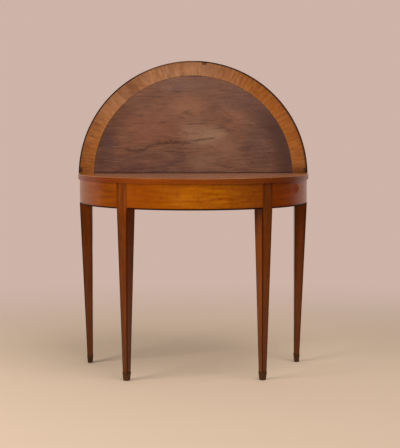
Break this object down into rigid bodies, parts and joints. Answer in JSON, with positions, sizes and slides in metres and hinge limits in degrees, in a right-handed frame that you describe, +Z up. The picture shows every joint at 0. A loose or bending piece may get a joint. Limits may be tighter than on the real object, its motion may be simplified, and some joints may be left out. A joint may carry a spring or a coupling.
{
  "type": "demilune table",
  "caption": "Half-round side table with a fold-over leaf stood up at the back, crossbanded tops, a curved frieze, tapered legs in foot caps and rear legs that swing out.",
  "frame": {"origin": "on the floor at the middle of the footprint of the table with its leaf raised", "axes": "+Z up, -Y towards the rounded front, +X to the right seen from the front"},
  "size_m": [0.9, 0.5521, 1.1906],
  "materials": {
    "mahogany": "old polished mahogany, faded",
    "crossbanding": "polished crossbanding",
    "satinwood": "polished veneer",
    "leg_wood": "polished",
    "ebony_line": "polished",
    "frame_wood": "bare, aged",
    "foot_brass": "patinated",
    "hinge_brass": "tarnished",
    "steel": "aged"
  },
  "bodies": {
    "frame": {"fixed_top_panel": "mahogany", "fixed_top_edge_veneer": "satinwood", "fixed_top_edge_line": "crossbanding", "fixed_top_crossbanding": "crossbanding", "fixed_top_field_line": "ebony_line", "frieze_course_lower": "frame_wood", "frieze_course_middle": "frame_wood", "frieze_course_upper": "frame_wood", "frieze_veneer_left": "satinwood", "frieze_veneer_centre": "satinwood", "frieze_veneer_right": "satinwood", "frieze_edge_lines": "ebony_line", "left_front_leg": "leg_wood", "right_front_leg": "leg_wood", "left_front_leg_stringing": "ebony_line", "right_front_leg_stringing": "ebony_line", "left_front_foot_cap": "foot_brass", "right_front_foot_cap": "foot_brass", "inner_back_rail": "frame_wood", "medial_brace": "frame_wood", "glue_blocks": "frame_wood", "top_screws": "steel", "gate_hinge_block": "frame_wood", "gate_hinge_pins": "steel", "hinge_block_screws": "steel", "left_hinge_fixed_plate": "hinge_brass", "right_hinge_fixed_plate": "hinge_brass", "hinge_pins": "hinge_brass", "fixed_hinge_screws": "steel"},
    "leaf": {"leaf_panel": "mahogany", "leaf_edge_veneer": "satinwood", "leaf_tongue": "frame_wood", "leaf_edge_line": "ebony_line", "leaf_crossbanding": "crossbanding", "leaf_field_line": "ebony_line", "leaf_outer_edge_line": "ebony_line", "leaf_outer_crossbanding": "crossbanding", "leaf_outer_field_line": "ebony_line", "left_hinge_leaf_plate": "hinge_brass", "right_hinge_leaf_plate": "hinge_brass", "leaf_hinge_screws": "steel"},
    "left_gate": {"left_fly_rail": "frame_wood", "left_gate_pegs": "frame_wood", "left_rear_leg": "leg_wood", "left_rear_leg_stringing": "ebony_line", "left_rear_foot_cap": "foot_brass"},
    "right_gate": {"right_fly_rail": "frame_wood", "right_gate_pegs": "frame_wood", "right_rear_leg": "leg_wood", "right_rear_leg_stringing": "ebony_line", "right_rear_foot_cap": "foot_brass"}
  },
  "joints": [
    {"name": "leaf_hinge", "type": "hinge", "parent": "frame", "child": "leaf", "pos_m": [0, 0.17416, 0.748], "axis": [-1, 0, 0], "range_deg": [-100.5, 79.5]},
    {"name": "left_gate_swing", "type": "hinge", "parent": "frame", "child": "left_gate", "pos_m": [-0.06, 0.16166, 0.68], "axis": [0, 0, -1], "range_deg": [0, 90]},
    {"name": "right_gate_swing", "type": "hinge", "parent": "frame", "child": "right_gate", "pos_m": [0.06, 0.16166, 0.68], "axis": [0, 0, 1], "range_deg": [0, 90]}
  ]
}
